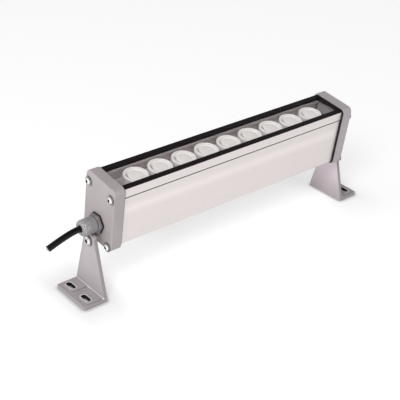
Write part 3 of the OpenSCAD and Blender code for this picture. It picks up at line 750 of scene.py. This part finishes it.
# %% Lenses
LENS_COUNT = 9
LENS_PITCH = 30 * MM
BOARD_TOP = 52.1 * MM
LENS_SIDES = 72
LENS_PROFILE = np.array(
    [
        [0, 6.2], [3.2, 6.2], [3.2, 2.4], [5.0, 2.4], [11.2, 10.7], [12.9, 10.7], [12.9, 12.2],
        [12.0, 12.2], [11.7, 11.8], [9.3, 11.7], [8.9, 10.9], [7.0, 11.35], [4.0, 11.65], [0, 11.75],
    ]
) * MM
LENS_REACH = np.array([0.3, 0.3, 0.3, 0.3, 0.3, 0.4, 0.3, 0.25, 0.2, 0.2, 0.9, 1.4]) * MM
RIM_FROM = 11.8 * MM
RIM_BASE = 11.5 * MM
TOP_FROM = 10.5 * MM
STEP_SHADE_ARC = (9.0 * MM, 0.7 * MM, 165, 8)
LENS_GLINT_ARC = (7.0 * MM, 0.9 * MM, 185, 8)

lens_profile = softened(LENS_PROFILE, LENS_REACH)
lens_x = (np.arange(LENS_COUNT) - (LENS_COUNT - 1) / 2) * LENS_PITCH
lens_places = np.column_stack([lens_x, 0 * lens_x, BOARD_TOP + 0 * lens_x])
lens_points, lens_faces = copies(
    spun(lens_profile, LENS_SIDES), grid_faces(LENS_SIDES, len(lens_profile)), lens_places
)
# The rim gets a painted highlight.
rim_highlight = (lens_profile[:, 0] > RIM_FROM) & (lens_profile[:, 1] > RIM_BASE)
lens_angle = np.linspace(0, 2 * np.pi, LENS_SIDES, endpoint=False)[:, None]


def lens_arc(radius, width, middle, narrow):
    """A mark that is 1 at one radius and angle of the lens's top, and fades away from there."""
    top = lens_profile[:, 1] > TOP_FROM
    ring = np.exp(-(((lens_profile[:, 0] - radius) / width) ** 2)) * top
    arc = np.clip(np.cos(lens_angle - math.radians(middle)), 0, 1) ** narrow * ring
    return np.tile(arc.ravel(), LENS_COUNT)


closed_piece(
    "moulded_lenses",
    from_head(lens_points),
    lens_faces,
    lens_plastic,
    "head",
    ["lenses"],
    "lens_plastic",
    rim=np.tile(rim_highlight, LENS_COUNT * LENS_SIDES),
    step=lens_arc(*STEP_SHADE_ARC),
    flash=lens_arc(*LENS_GLINT_ARC),
)

# %% [markdown]
# ## Socket screws
#
# A button screw has a low dome with a hexagonal socket. The dome is a part of a ball. Inside the
# socket the radius follows a hexagon, which is 1 / cos of the angle to the nearest flat. Each
# profile point carries two marks: how far it follows the hexagon, and how much painted shade it
# has. A little neck under the head leaves a ring that is painted dark as the shade there.

# %% Screw profile
SCREW_SIDES = 48
DOME_STEPS = 7
EDGE_LIFT = 0.16
NECK = 0.84
LIP = 0.97
LIP_LIFT = 0.6
SOCKET_RIM = 1.08
SOCKET_FLOOR = 0.35


def hexagon(a, turn=0.0):
    """Distance to the outline of a hexagon whose flats are 1 away, for each angle a."""
    return 1 / np.cos((a - turn + np.pi / 6) % (np.pi / 3) - np.pi / 6)


def socket_screw(head_r, head_h, socket, shank_r, shank):
    """Rows of (r, h, hexagon share, painted shade) from the tip of the shank to the socket's floor.

    The dome is h = sqrt(R^2 - r^2) + head_h - R, with R = (head_r^2 + head_h^2) / (2 head_h).
    """
    ball = (head_r**2 + head_h**2) / (2 * head_h)
    flat = socket / 2
    rim = flat / math.cos(math.pi / 6) * SOCKET_RIM
    r = np.linspace(head_r, rim, DOME_STEPS)
    edge = head_h * EDGE_LIFT
    h = np.maximum(np.sqrt(ball**2 - r**2) + head_h - ball, edge)
    dome = np.column_stack([r, h, 0 * r, 0 * r])
    lip, pit = edge * LIP_LIFT, head_h * SOCKET_FLOOR
    rows = [
        [0, -shank, 0, 0], [shank_r * 0.8, -shank, 0, 0], [shank_r, shank_r * 0.3 - shank, 0, 0],
        [shank_r, 0, 0, 0], [head_r * NECK, 0, 0, 1], [head_r * NECK, lip, 0, 1],
        [head_r * LIP, lip, 0, 1],
    ]
    socket_rows = [[flat, h[-1] - head_h * 0.04, 1, 1], [flat, pit, 1, 1], [0, pit - flat * 0.4, 1, 1]]
    return np.vstack([rows, dome, socket_rows])


def washer(hole, edge, thick, head_r):
    """Rows of (r, h, hexagon share, painted shade): a ring with a turned edge, painted dark as shade
    on its edge, underside and under the head.
    """
    cut, seat = thick * 0.3, thick * 0.9
    return np.array(
        [
            [hole, 0, 0, 1], [edge - cut, 0, 0, 1], [edge, cut, 0, 1], [edge, thick - cut, 0, 1],
            [edge - cut, thick, 0, 0], [head_r * 1.17, thick, 0, 0], [head_r * 1.15, seat, 0, 1],
            [head_r * 0.9, seat, 0, 1], [hole, seat, 0, 1],
        ]
    )


def steel_set(name, replaced, sign, out, places, profile, closed):
    """Turned pieces that point along the lamp: X is outwards, and the profile turns in Y, Z.

    A closed profile is a washer, and washers are of a greyer steel than screws.
    """

    def outline(a, p):
        return p[:, 0] * (1 + p[:, 2] * (hexagon(a) - 1))

    side, rise, along = np.moveaxis(spun(profile, SCREW_SIDES, outline), -1, 0)
    grid = np.stack([sign * (CAP_FACE + out + along), side, rise], axis=-1)
    points, faces = copies(grid, grid_faces(SCREW_SIDES, len(profile), closed), places)
    marks = np.tile(profile[:, 3], SCREW_SIDES * len(places))
    steel = washer_steel if closed else screw_steel
    closed_piece(name, from_head(points), faces, steel, "head", [replaced], "stainless", grease=marks)


# %% Cap screws, pivot bolts and their washers
SCREW_SIDE = 18.5 * MM
SCREW_HEIGHTS = (4.8 * MM, 61.5 * MM)
CAP_SCREW = np.array([3.5, 2.4, 3.1, 1.65, 26.8]) * MM
PIVOT_BOLT = np.array([4.4, 2.8, 3.8, 3.0, 19.5]) * MM
WASHER = 1 * MM
CAP_WASHER = np.array([2.2, 5.2, 1.0, 3.6]) * MM
PIVOT_WASHER = np.array([3.2, 6.0, 1.0, 4.4]) * MM
BOLT_OUT = 10.5 * MM

four_corners = [(0, s * SCREW_SIDE, z) for s in (-1, 1) for z in SCREW_HEIGHTS]
on_axis = [(0, 0, PIVOT_IN_HEAD)]
TURNED = {
    ("socket_screws", "cap_screws"): (WASHER, four_corners, socket_screw(*CAP_SCREW), False),
    ("turned_washers", "cap_washers"): (0.0, four_corners, washer(*CAP_WASHER), True),
    ("tilt_bolt", "pivot_bolt"): (BOLT_OUT, on_axis, socket_screw(*PIVOT_BOLT), False),
    ("tilt_washer", "pivot_washer"): (BOLT_OUT - WASHER, on_axis, washer(*PIVOT_WASHER), True),
}
ENDS = {"left": -1, "right": 1}
for end, sign in ENDS.items():
    for (name, node), how in TURNED.items():
        steel_set(f"{end}_{name}", f"{end}_{node}", sign, *how)

# %% [markdown]
# ## Ends of the window
#
# Where the glass meets the black gasket of each cap, the fitter runs a thin bead of sealant. Its
# section is a quarter of a round bar, leaned on the gasket. It is laid by hand: two slow sines
# make its width wavy. It grows towards the back of the right end, where it stands partly for
# sealant and partly for the rear rail's shade and dark reflection in the glass. Under the glass a
# plate hides the gasket. Its height follows 1 - 0.25 |y / half|^12, which rounds its corners.

# %% Bars through sections
GLASS_TOP = 67.9 * MM
HOUSING_END = 148.5 * MM
BAR_ROWS = 60


def bar(x, y, z):
    """A bar whose section is one row of each array, closed by the middle of its end sections."""
    sections = np.stack(np.broadcast_arrays(x, y, z), axis=-1)
    ends = [sections[k].mean(axis=0) + 0 * sections[:1] for k in (0, -1)]
    grid = np.concatenate([ends[0], sections, ends[1]])
    rows, points = grid.shape[:2]
    return grid.reshape(-1, 3), grid_faces(rows, points, closed=True)[: (rows - 1) * points]


def window_ends(name, right, left, finish, replaced, slot):
    """One piece from a bar at the right end and another that is mirrored to the left end."""
    points = np.concatenate([right[0], left[0] * [-1, 1, 1]])
    faces = np.concatenate([right[1], left[1] + len(right[0])])
    closed_piece(name, from_head(points), faces, finish, "head", replaced, slot)


# %% Sealant beads
BEAD_SPAN = 14.7 * MM
BEAD_WIDTH = 1.1 * MM
BEAD_HEIGHT = 1.5 * MM
BEAD_GROWTH = 2.4 * MM
GROWTH_START = 0.1
ARC_STEPS = 7
bead_y = np.linspace(-BEAD_SPAN, BEAD_SPAN, BAR_ROWS)[:, None]
quarter = np.linspace(0, np.pi / 2, ARC_STEPS)
bead_across = np.append(np.cos(quarter), 0)
bead_up = np.append(np.sin(quarter), 0)
wavy = 1 + 0.08 * np.sin(bead_y / (2.1 * MM)) + 0.05 * np.sin(bead_y / MM)


def bead(growth):
    """A quarter round bar whose width is wavy and grows with y."""
    # The bead's growth stands partly for sealant and partly for painted shade and reflection.
    width = BEAD_WIDTH * wavy + growth * np.clip(bead_y / BEAD_SPAN + GROWTH_START, 0, 1)
    return bar(HOUSING_END - width * bead_across, bead_y, GLASS_TOP + BEAD_HEIGHT * bead_up)


beads = bead(BEAD_GROWTH), bead(0.0)
window_ends("sealant_beads", *beads, gasket_rubber, ["end_seals"], "black_rubber")

# %% Plates under the glass
PLATE_HALF = 14.4 * MM
PLATE_FOOT = 52.3 * MM
PLATE_RISE = 11.8 * MM
PLATE_SECTION = np.array([[0.2, 0], [0.2, 0.97], [0.3, 1.0], [0.7, 1.0], [0.8, 0.97], [0.8, 0]])
CORNER_DROP = 0.25
CORNER_POWER = 12
plate_y = np.sin(np.linspace(-np.pi / 2, np.pi / 2, BAR_ROWS))[:, None]
plate_rise = PLATE_RISE * (1 - CORNER_DROP * np.abs(plate_y) ** CORNER_POWER)
plate_in, plate_up = PLATE_SECTION.T
plate = bar(HOUSING_END - plate_in * MM, plate_y * PLATE_HALF, PLATE_FOOT + plate_rise * plate_up)
window_ends("window_end_plates", plate, plate, plate_paint, [], "board")

# %% [markdown]
# ## The cable gland
#
# The gland's body has a hexagon for the spanner, and its corners are turned off at 30 degrees:
# the outline is the smaller of the hexagon and a cone. The cap nut narrows towards its mouth and
# has three ridges for the fingers, which are bell curves added to the taper.

# %% Gland body
GLAND_HEIGHT = 23.1 * MM
GLAND_REACH = 20.5 * MM
GLAND_SIDES = 96
HEX_TURN = math.radians(80)
HEX_TO = 4.8 * MM
HEX_CONE = 9.7 * MM
BODY_PROFILE = np.array(
    [
        [3.6, -8.3, 0], [7.6, -8.3, 0], [7.6, 1.2, 0], [9.5, 1.2, 1], [9.5, 1.5, 1],
        [9.5, 3.4, 1], [9.5, 4.0, 1], [9.5, 4.25, 1], [9.5, 4.5, 1], [9.5, 4.8, 1],
        [6.9, 4.8, 0], [6.9, 14.0, 0], [5.6, 14.0, 0], [5.6, 6.2, 0], [3.6, 6.2, 0],
    ]
) * [MM, MM, 1]


def spanner_outline(a, profile):
    """The smaller of the hexagon and a cone that opens at 60 degrees from the hexagon's face."""
    r, h, share = profile.T
    six = r * (1 + share * (hexagon(a, HEX_TURN) - 1))
    cone = HEX_CONE + (HEX_TO - h) * math.sqrt(3)
    return np.where(share > 0, np.minimum(six, cone), six)


def gland_piece(name, replaced, profile, finish, outline=None):
    """A closed turned piece whose axis is the gland's, and points out of the left cap."""
    side, rise, out = np.moveaxis(spun(profile, GLAND_SIDES, outline), -1, 0)
    points = np.stack([-(CAP_FACE + out), side, GLAND_HEIGHT + rise], axis=-1).reshape(-1, 3)
    faces = grid_faces(GLAND_SIDES, len(profile), closed=True)
    closed_piece(name, from_head(points), faces, finish, "head", [replaced], "cast_grey")


gland_piece("gland_hexagon_body", "gland_body", BODY_PROFILE, body_coat, spanner_outline)

# %% Gland nut
NUT_START = 5.0 * MM
NUT_SHOULDER = 9.5 * MM
NUT_R = 8.5 * MM
MOUTH_R = 7.9 * MM
MOUTH_BORE = 3.6 * MM
NUT_BORE = 7.0 * MM
NUT_ROOF = 14.8 * MM
NUT_STEPS = 90
MOUTH_ROUND = 1.1 * MM
BORE_ROUND = 0.5 * MM
START_ROUND = 0.4 * MM
RIDGES = np.array([13.4, 15.6, 17.8]) * MM
RIDGE_HEIGHT = 0.45 * MM
RIDGE_WIDTH = 0.42 * MM


def nut_radius(out):
    """Straight, then a straight taper, plus a bell curve for each ridge, less the round ends."""
    taper = np.clip((out - NUT_SHOULDER) / (GLAND_REACH - NUT_SHOULDER), 0, 1)
    bells = np.exp(-(((out[:, None] - RIDGES) / RIDGE_WIDTH) ** 2)).sum(axis=1)
    r = NUT_R + (MOUTH_R - NUT_R) * taper + RIDGE_HEIGHT * bells
    for gap, size in ((GLAND_REACH - out, MOUTH_ROUND), (out - NUT_START, START_ROUND)):
        r = r - size * (1 - np.sqrt(1 - np.clip(1 - gap / size, 0, 1) ** 2))
    return r


out = NUT_START + (GLAND_REACH - NUT_START) * np.sin(np.linspace(0, np.pi / 2, NUT_STEPS))
outside = np.column_stack([nut_radius(out), out])
inside = [
    [MOUTH_BORE + BORE_ROUND, GLAND_REACH], [MOUTH_BORE, GLAND_REACH - BORE_ROUND],
    [MOUTH_BORE, NUT_ROOF], [NUT_BORE, NUT_ROOF], [NUT_BORE, NUT_START],
]
gland_piece("gland_cap_nut", "gland_nut", np.vstack([outside, inside]), nut_coat)

# %% [markdown]
# ## Softer edges on the castings
#
# A casting has no razor edges: the powder rounds them by a few tenths of a millimetre, and it is
# these rounds that catch the light along the brackets. The solid's own mesh is copied, its loose
# triangles are merged, flat areas are joined, and a Bevel modifier rounds what is left sharp.

# %% Eased brackets
EDGE_MERGE = 0.06 * MM
FLAT_ENOUGH = math.radians(0.5)
EASE = 0.45 * MM


def eased(node, name):
    """A copy of a bracket with merged points, joined flats and rounded edges."""
    mesh = nodes[node].data.copy()
    mesh.name = name
    tidy = bmesh.new()
    tidy.from_mesh(mesh)
    bmesh.ops.remove_doubles(tidy, verts=tidy.verts, dist=EDGE_MERGE)
    bmesh.ops.dissolve_limit(
        tidy, angle_limit=FLAT_ENOUGH, verts=tidy.verts, edges=tidy.edges, delimit={"NORMAL"}
    )
    tidy.to_mesh(mesh)
    tidy.free()
    piece = finished(name, mesh, bracket_coat, "base", [node])
    bevel = piece.modifiers.new("rounded edges", "BEVEL")
    bevel.width = EASE
    bevel.segments = 2
    bevel.limit_method = "ANGLE"
    bevel.angle_limit = SHARP
    bevel.use_clamp_overlap = False
    bevel.harden_normals = True
    print(name, len(mesh.polygons), "faces before rounding")


for end in ENDS:
    eased(f"{end}_bracket", f"{end}_cast_bracket")

# %% [markdown]
# ## Raised rims round the slots
#
# Each fixing slot has a thin raised rim, cast with the pad, so that a washer bites. A slot's
# outline is two half circles joined by straights. The rim is half a round bead carried along it.

# %% Slot rims
RIM_OFF = 0.75 * MM
RIM_HALF = 0.55 * MM
RIM_HEIGHT = 0.32 * MM
RIM_SINK = 0.1 * MM
RIM_STEPS = 64


def slot_bead():
    """Points at the straight's end + (R + w cos b) (cos a, sin a), at height sin b.

    The angle a runs round the slot, and the straight shifts the two half circles apart.
    The angle b runs over the bead and closes just under the pad.
    """
    a = np.linspace(0, 2 * np.pi, RIM_STEPS, endpoint=False)[:, None]
    b = np.linspace(0, np.pi, ARC_STEPS)[None, :]
    bead_r = np.hstack([RIM_HALF * np.cos(b), [[-RIM_HALF, RIM_HALF]]])
    bead_z = np.hstack([RIM_HEIGHT * np.sin(b), [[-RIM_SINK, -RIM_SINK]]])
    r = SLOT_R + RIM_OFF + bead_r
    shift = np.where(np.sin(a + 1e-6) > 0, 1, -1) * SLOT_STRAIGHT / 2
    return np.stack([r * np.cos(a), shift + r * np.sin(a), bead_z + 0 * a], axis=-1)


# The rims wear a paler coat, as a painted highlight.
rim = slot_bead()
rim_faces = grid_faces(RIM_STEPS, rim.shape[1], closed=True)
for end, sign in ENDS.items():
    slots = [(sign * SLOT_X, PIVOT_SHIFT + s * SLOT_PITCH / 2, PAD_TOP) for s in (-1, 1)]
    points, faces = copies(rim, rim_faces, slots)
    closed_piece(f"{end}_slot_rims", points, faces, rim_highlight_coat, "base", [], "bracket_grey")

# %% [markdown]
# ## The supply cable
#
# The cable leaves the gland straight, then bends down a little under its own weight, and it is
# cut off short, as on the lamp in the photograph. Its route is the solid's own list of points.
# A smooth curve through a few points is a sum of neighbouring points, so the whole list is worked
# out at once, and a round bevel gives the curve its thickness. Three cores show where it is cut,
# and their tips are bare, tinned wire.

# %% Cable route
CABLE_D = 6.5 * MM
CABLE_ROUTE = np.array(
    [[-28, 0], [-14, 0], [0, 0], [8, -0.8], [16, -2.8], [26, -6.2], [36, -10.2]]
) * MM
CABLE_STEPS = 5


def smooth_route(points, steps):
    """Each stretch between two points is a cubic that takes its slope from their neighbours."""
    padded = np.vstack([2 * points[0] - points[1], points, 2 * points[-1] - points[-2]])
    a, b, c, d = padded[:-3], padded[1:-2], padded[2:-1], padded[3:]
    t = (np.arange(steps) / steps)[:, None, None]
    stretch = 2 * b + (c - a) * t + (2 * a - 5 * b + 4 * c - d) * t**2
    stretch = (stretch + (3 * b - a - 3 * c + d) * t**3) / 2
    return np.vstack([stretch.transpose(1, 0, 2).reshape(-1, points.shape[1]), points[-1:]])


def beyond_gland(out, side, height):
    """Metres outwards from the gland's mouth, across, and up from the gland's axis."""
    return np.stack([-(CAP_FACE + GLAND_REACH + out), side, GLAND_HEIGHT + height], axis=-1)


route = smooth_route(CABLE_ROUTE, CABLE_STEPS)
cable_line = from_head(beyond_gland(route[:, 0], 0 * route[:, 0], route[:, 1]))
cable_exit = from_head(beyond_gland(0, 0, 0))

# %% Cable curve
curve = bpy.data.curves.new("supply_cable", "CURVE")
curve.dimensions = "3D"
curve.bevel_depth = CABLE_D / 2
curve.bevel_resolution = 8
curve.use_fill_caps = True
spline = curve.splines.new("POLY")
spline.points.add(len(cable_line) - 1)
spline.points.foreach_set("co", np.insert(cable_line, 3, 1.0, axis=1).ravel())
spline.use_smooth = True
supply_cable = in_scene("supply_cable", curve)
curve.materials.append(jacket_rubber.material)
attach(supply_cable, "head")
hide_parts("cable")

# %% Cut cores
CORE_SIDES = 20
CORE_RING = 1.35 * MM
CORE_PROFILE = np.array(
    [[0, -2.0], [0.95, -2.0], [0.95, 0.35], [0.62, 0.4], [0.55, 0.4], [0.55, 0.9], [0, 0.9]]
) * MM
BARE_R = 0.6 * MM
TINNED = (0.62, 0.585, 0.57, 1)
CORE_WHITE = (0.5, 0.49, 0.48, 1)

core_finish = moulded("cut_cores", CORE_WHITE, 0.4, 1.1, 1500, 0.00002)
bare = core_finish.mark("bare")
core_finish.paint(bare, TINNED)
core_finish.feed(metallic=bare)
heading = route[-1] - route[-2]
heading = heading / np.linalg.norm(heading)
core_a = np.radians([90, 210, 330])
core_places = np.column_stack([CORE_RING * np.cos(core_a), CORE_RING * np.sin(core_a), 0 * core_a])
core_points, core_faces = copies(
    spun(CORE_PROFILE, CORE_SIDES), grid_faces(CORE_SIDES, len(CORE_PROFILE)), core_places
)
core_side, core_rise, core_along = core_points.T
core_out = route[-1, 0] + core_along * heading[0] - core_rise * heading[1]
core_up = route[-1, 1] + core_along * heading[1] + core_rise * heading[0]
cable_cores = closed_piece(
    "cable_cores",
    from_head(beyond_gland(core_out, core_side, core_up)),
    core_faces,
    core_finish,
    "head",
    [],
    "lead_insulation",
    bare=np.tile(CORE_PROFILE[:, 0] < BARE_R, CORE_SIDES * len(core_places)),
)

# %% [markdown]
# ## Studio
#
# The lamp stands on a white table in a white room. The table is a real surface that catches the
# shadow, and it is brighter for the camera than for the lamp, so that it reads as paper white.
# That lift fades only within a few millimetres of the lamp, as in a hole of a foot, because no
# light gets in there. So bright a table shows little of its soft shadows, and they are drawn on
# it: one round each foot, and a long one behind the case. The walls of the room glow, most at the
# left and least overhead, so the tops of the caps are darker than their sides. Mirrors and glass
# see white walls and a grey ceiling. One softbox at the front left adds highlights.

# %% Paper table
FLOOR_SIDE = 8.0
PAPER = 0.86
PAPER_LOOK = 0.7
PAPER_LIFT = 0.53
LIFT_REACH = 5.0 * MM
LIFT_POWER = 3.0
FOOT_MIDDLE = 181.5 * MM
FOOT_HALF = (13.8 * MM, 25.0 * MM)
FOOT_SHADE_REACH = 50.0 * MM
FOOT_SHADES = (0.21, 0.08)
SIDE_SQUEEZE = 2.0
CASE_SHADE = 0.14
CASE_SHADE_Y = (42.0 * MM, 125.0 * MM)
CASE_SHADE_X = (-60.0 * MM, 190.0 * MM)
CASE_SHADE_SOFT = 22.0 * MM
half = FLOOR_SIDE / 2
floor_corners = [(-half, -half, 0), (half, -half, 0), (half, half, 0), (-half, half, 0)]
floor_mesh = bpy.data.meshes.new("floor")
floor_mesh.from_pydata(floor_corners, [], [(0, 1, 2, 3)])
floor = in_scene("floor", floor_mesh)

paper = Finish("paper_table", {"Base Color": (PAPER, PAPER, PAPER, 1), "Roughness": 0.9})
table_x, table_y, _ = paper.split(paper.place())
beside_foot = (abs(abs(table_x) - FOOT_MIDDLE) - FOOT_HALF[0]).above(0.0) * SIDE_SQUEEZE
before_foot = (abs(table_y - PIVOT_SHIFT) - FOOT_HALF[1]).above(0.0)
from_foot = (beside_foot * beside_foot + before_foot * before_foot) ** 0.5
foot_shade = paper.ramp(from_foot, 0.0, FOOT_SHADE_REACH, 1.0, 0.0)
foot_shade = foot_shade * paper.ramp(table_x, -FOOT_MIDDLE, FOOT_MIDDLE, *FOOT_SHADES)
case_shade = paper.band(table_y, *CASE_SHADE_Y, CASE_SHADE_SOFT)
case_shade = case_shade * paper.band(table_x, *CASE_SHADE_X, CASE_SHADE_SOFT)
brightness = (1 - foot_shade) * (1 - CASE_SHADE * case_shade)
glow = paper.openness(LIFT_REACH) ** LIFT_POWER * brightness * PAPER_LIFT
lift = paper.node("Emission", {"Color": glow, "Strength": 1.0})
look = paper.node("BsdfDiffuse", {"Color": brightness * PAPER_LOOK})
lifted = paper.node("AddShader", {0: look, 1: lift})
paper.join(paper.blend(paper.looked_at(), paper.own, lifted), paper.surface)
floor_mesh.materials.append(paper.material)

# %% Glowing room
CEILING = 0.18
WALL_TOP = (0.3, 0.62)
GLOW = 0.26
GLOW_LOW = 0.75
LOW_POWER = 3.0
GLOW_LEFT = 1.2
GLOW_FRONT = 0.6
PATCHES = {(-1.0, 0.0, 0.05): 0.25, (-0.68, -0.68, 0.27): 0.4, (-0.61, 0.61, 0.51): 0.55}
PATCH_SHARPNESS = 5.0

world = bpy.data.worlds.new("white_room")
bpy.context.scene.world = world
world.use_nodes = True
room = Sums(world.node_tree)
east, north, up = room.split(room.node("TexCoord", {}, "Generated"))
height = up.above(0.0)
low = 1 - height
glow = GLOW + GLOW_LOW * low**LOW_POWER
glow = glow + low * (GLOW_LEFT * (east * -1).above(0.0) + GLOW_FRONT * (north * -1).above(0.0))
for (px, py, pz), strength in PATCHES.items():
    towards = (east * px + north * py + up * pz).above(0.0)
    glow = glow + strength * towards**PATCH_SHARPNESS
lights = room.node("Background", {"Strength": glow})
white = {"Color": (1, 1, 1, 1), "Strength": room.ramp(height, *WALL_TOP, 1.0, CEILING)}
seen = room.node("Background", white)
room_end = world.node_tree.nodes["World Output"].inputs["Surface"]
room.join(room.blend(room.looked_at(), lights, seen), room_end)

# %% Softbox
SOFTBOX_AT = Vector((-0.96, -0.6, 1.13))
SOFTBOX_TARGET = Vector((0, 0, 0.07))
SOFTBOX_SIDE = 0.5
SOFTBOX_WATTS = 8.5
softbox_light = bpy.data.lights.new("softbox", "AREA")
softbox_light.size = SOFTBOX_SIDE
softbox_light.energy = SOFTBOX_WATTS
softbox = in_scene("softbox", softbox_light)
softbox.location = SOFTBOX_AT
softbox.rotation_mode = "QUATERNION"
softbox.rotation_quaternion = (SOFTBOX_TARGET - SOFTBOX_AT).to_track_quat("-Z", "Y")
bpy.context.scene.view_settings.view_transform = "Standard"
print("room with", len(PATCHES), "bright patches and one softbox")
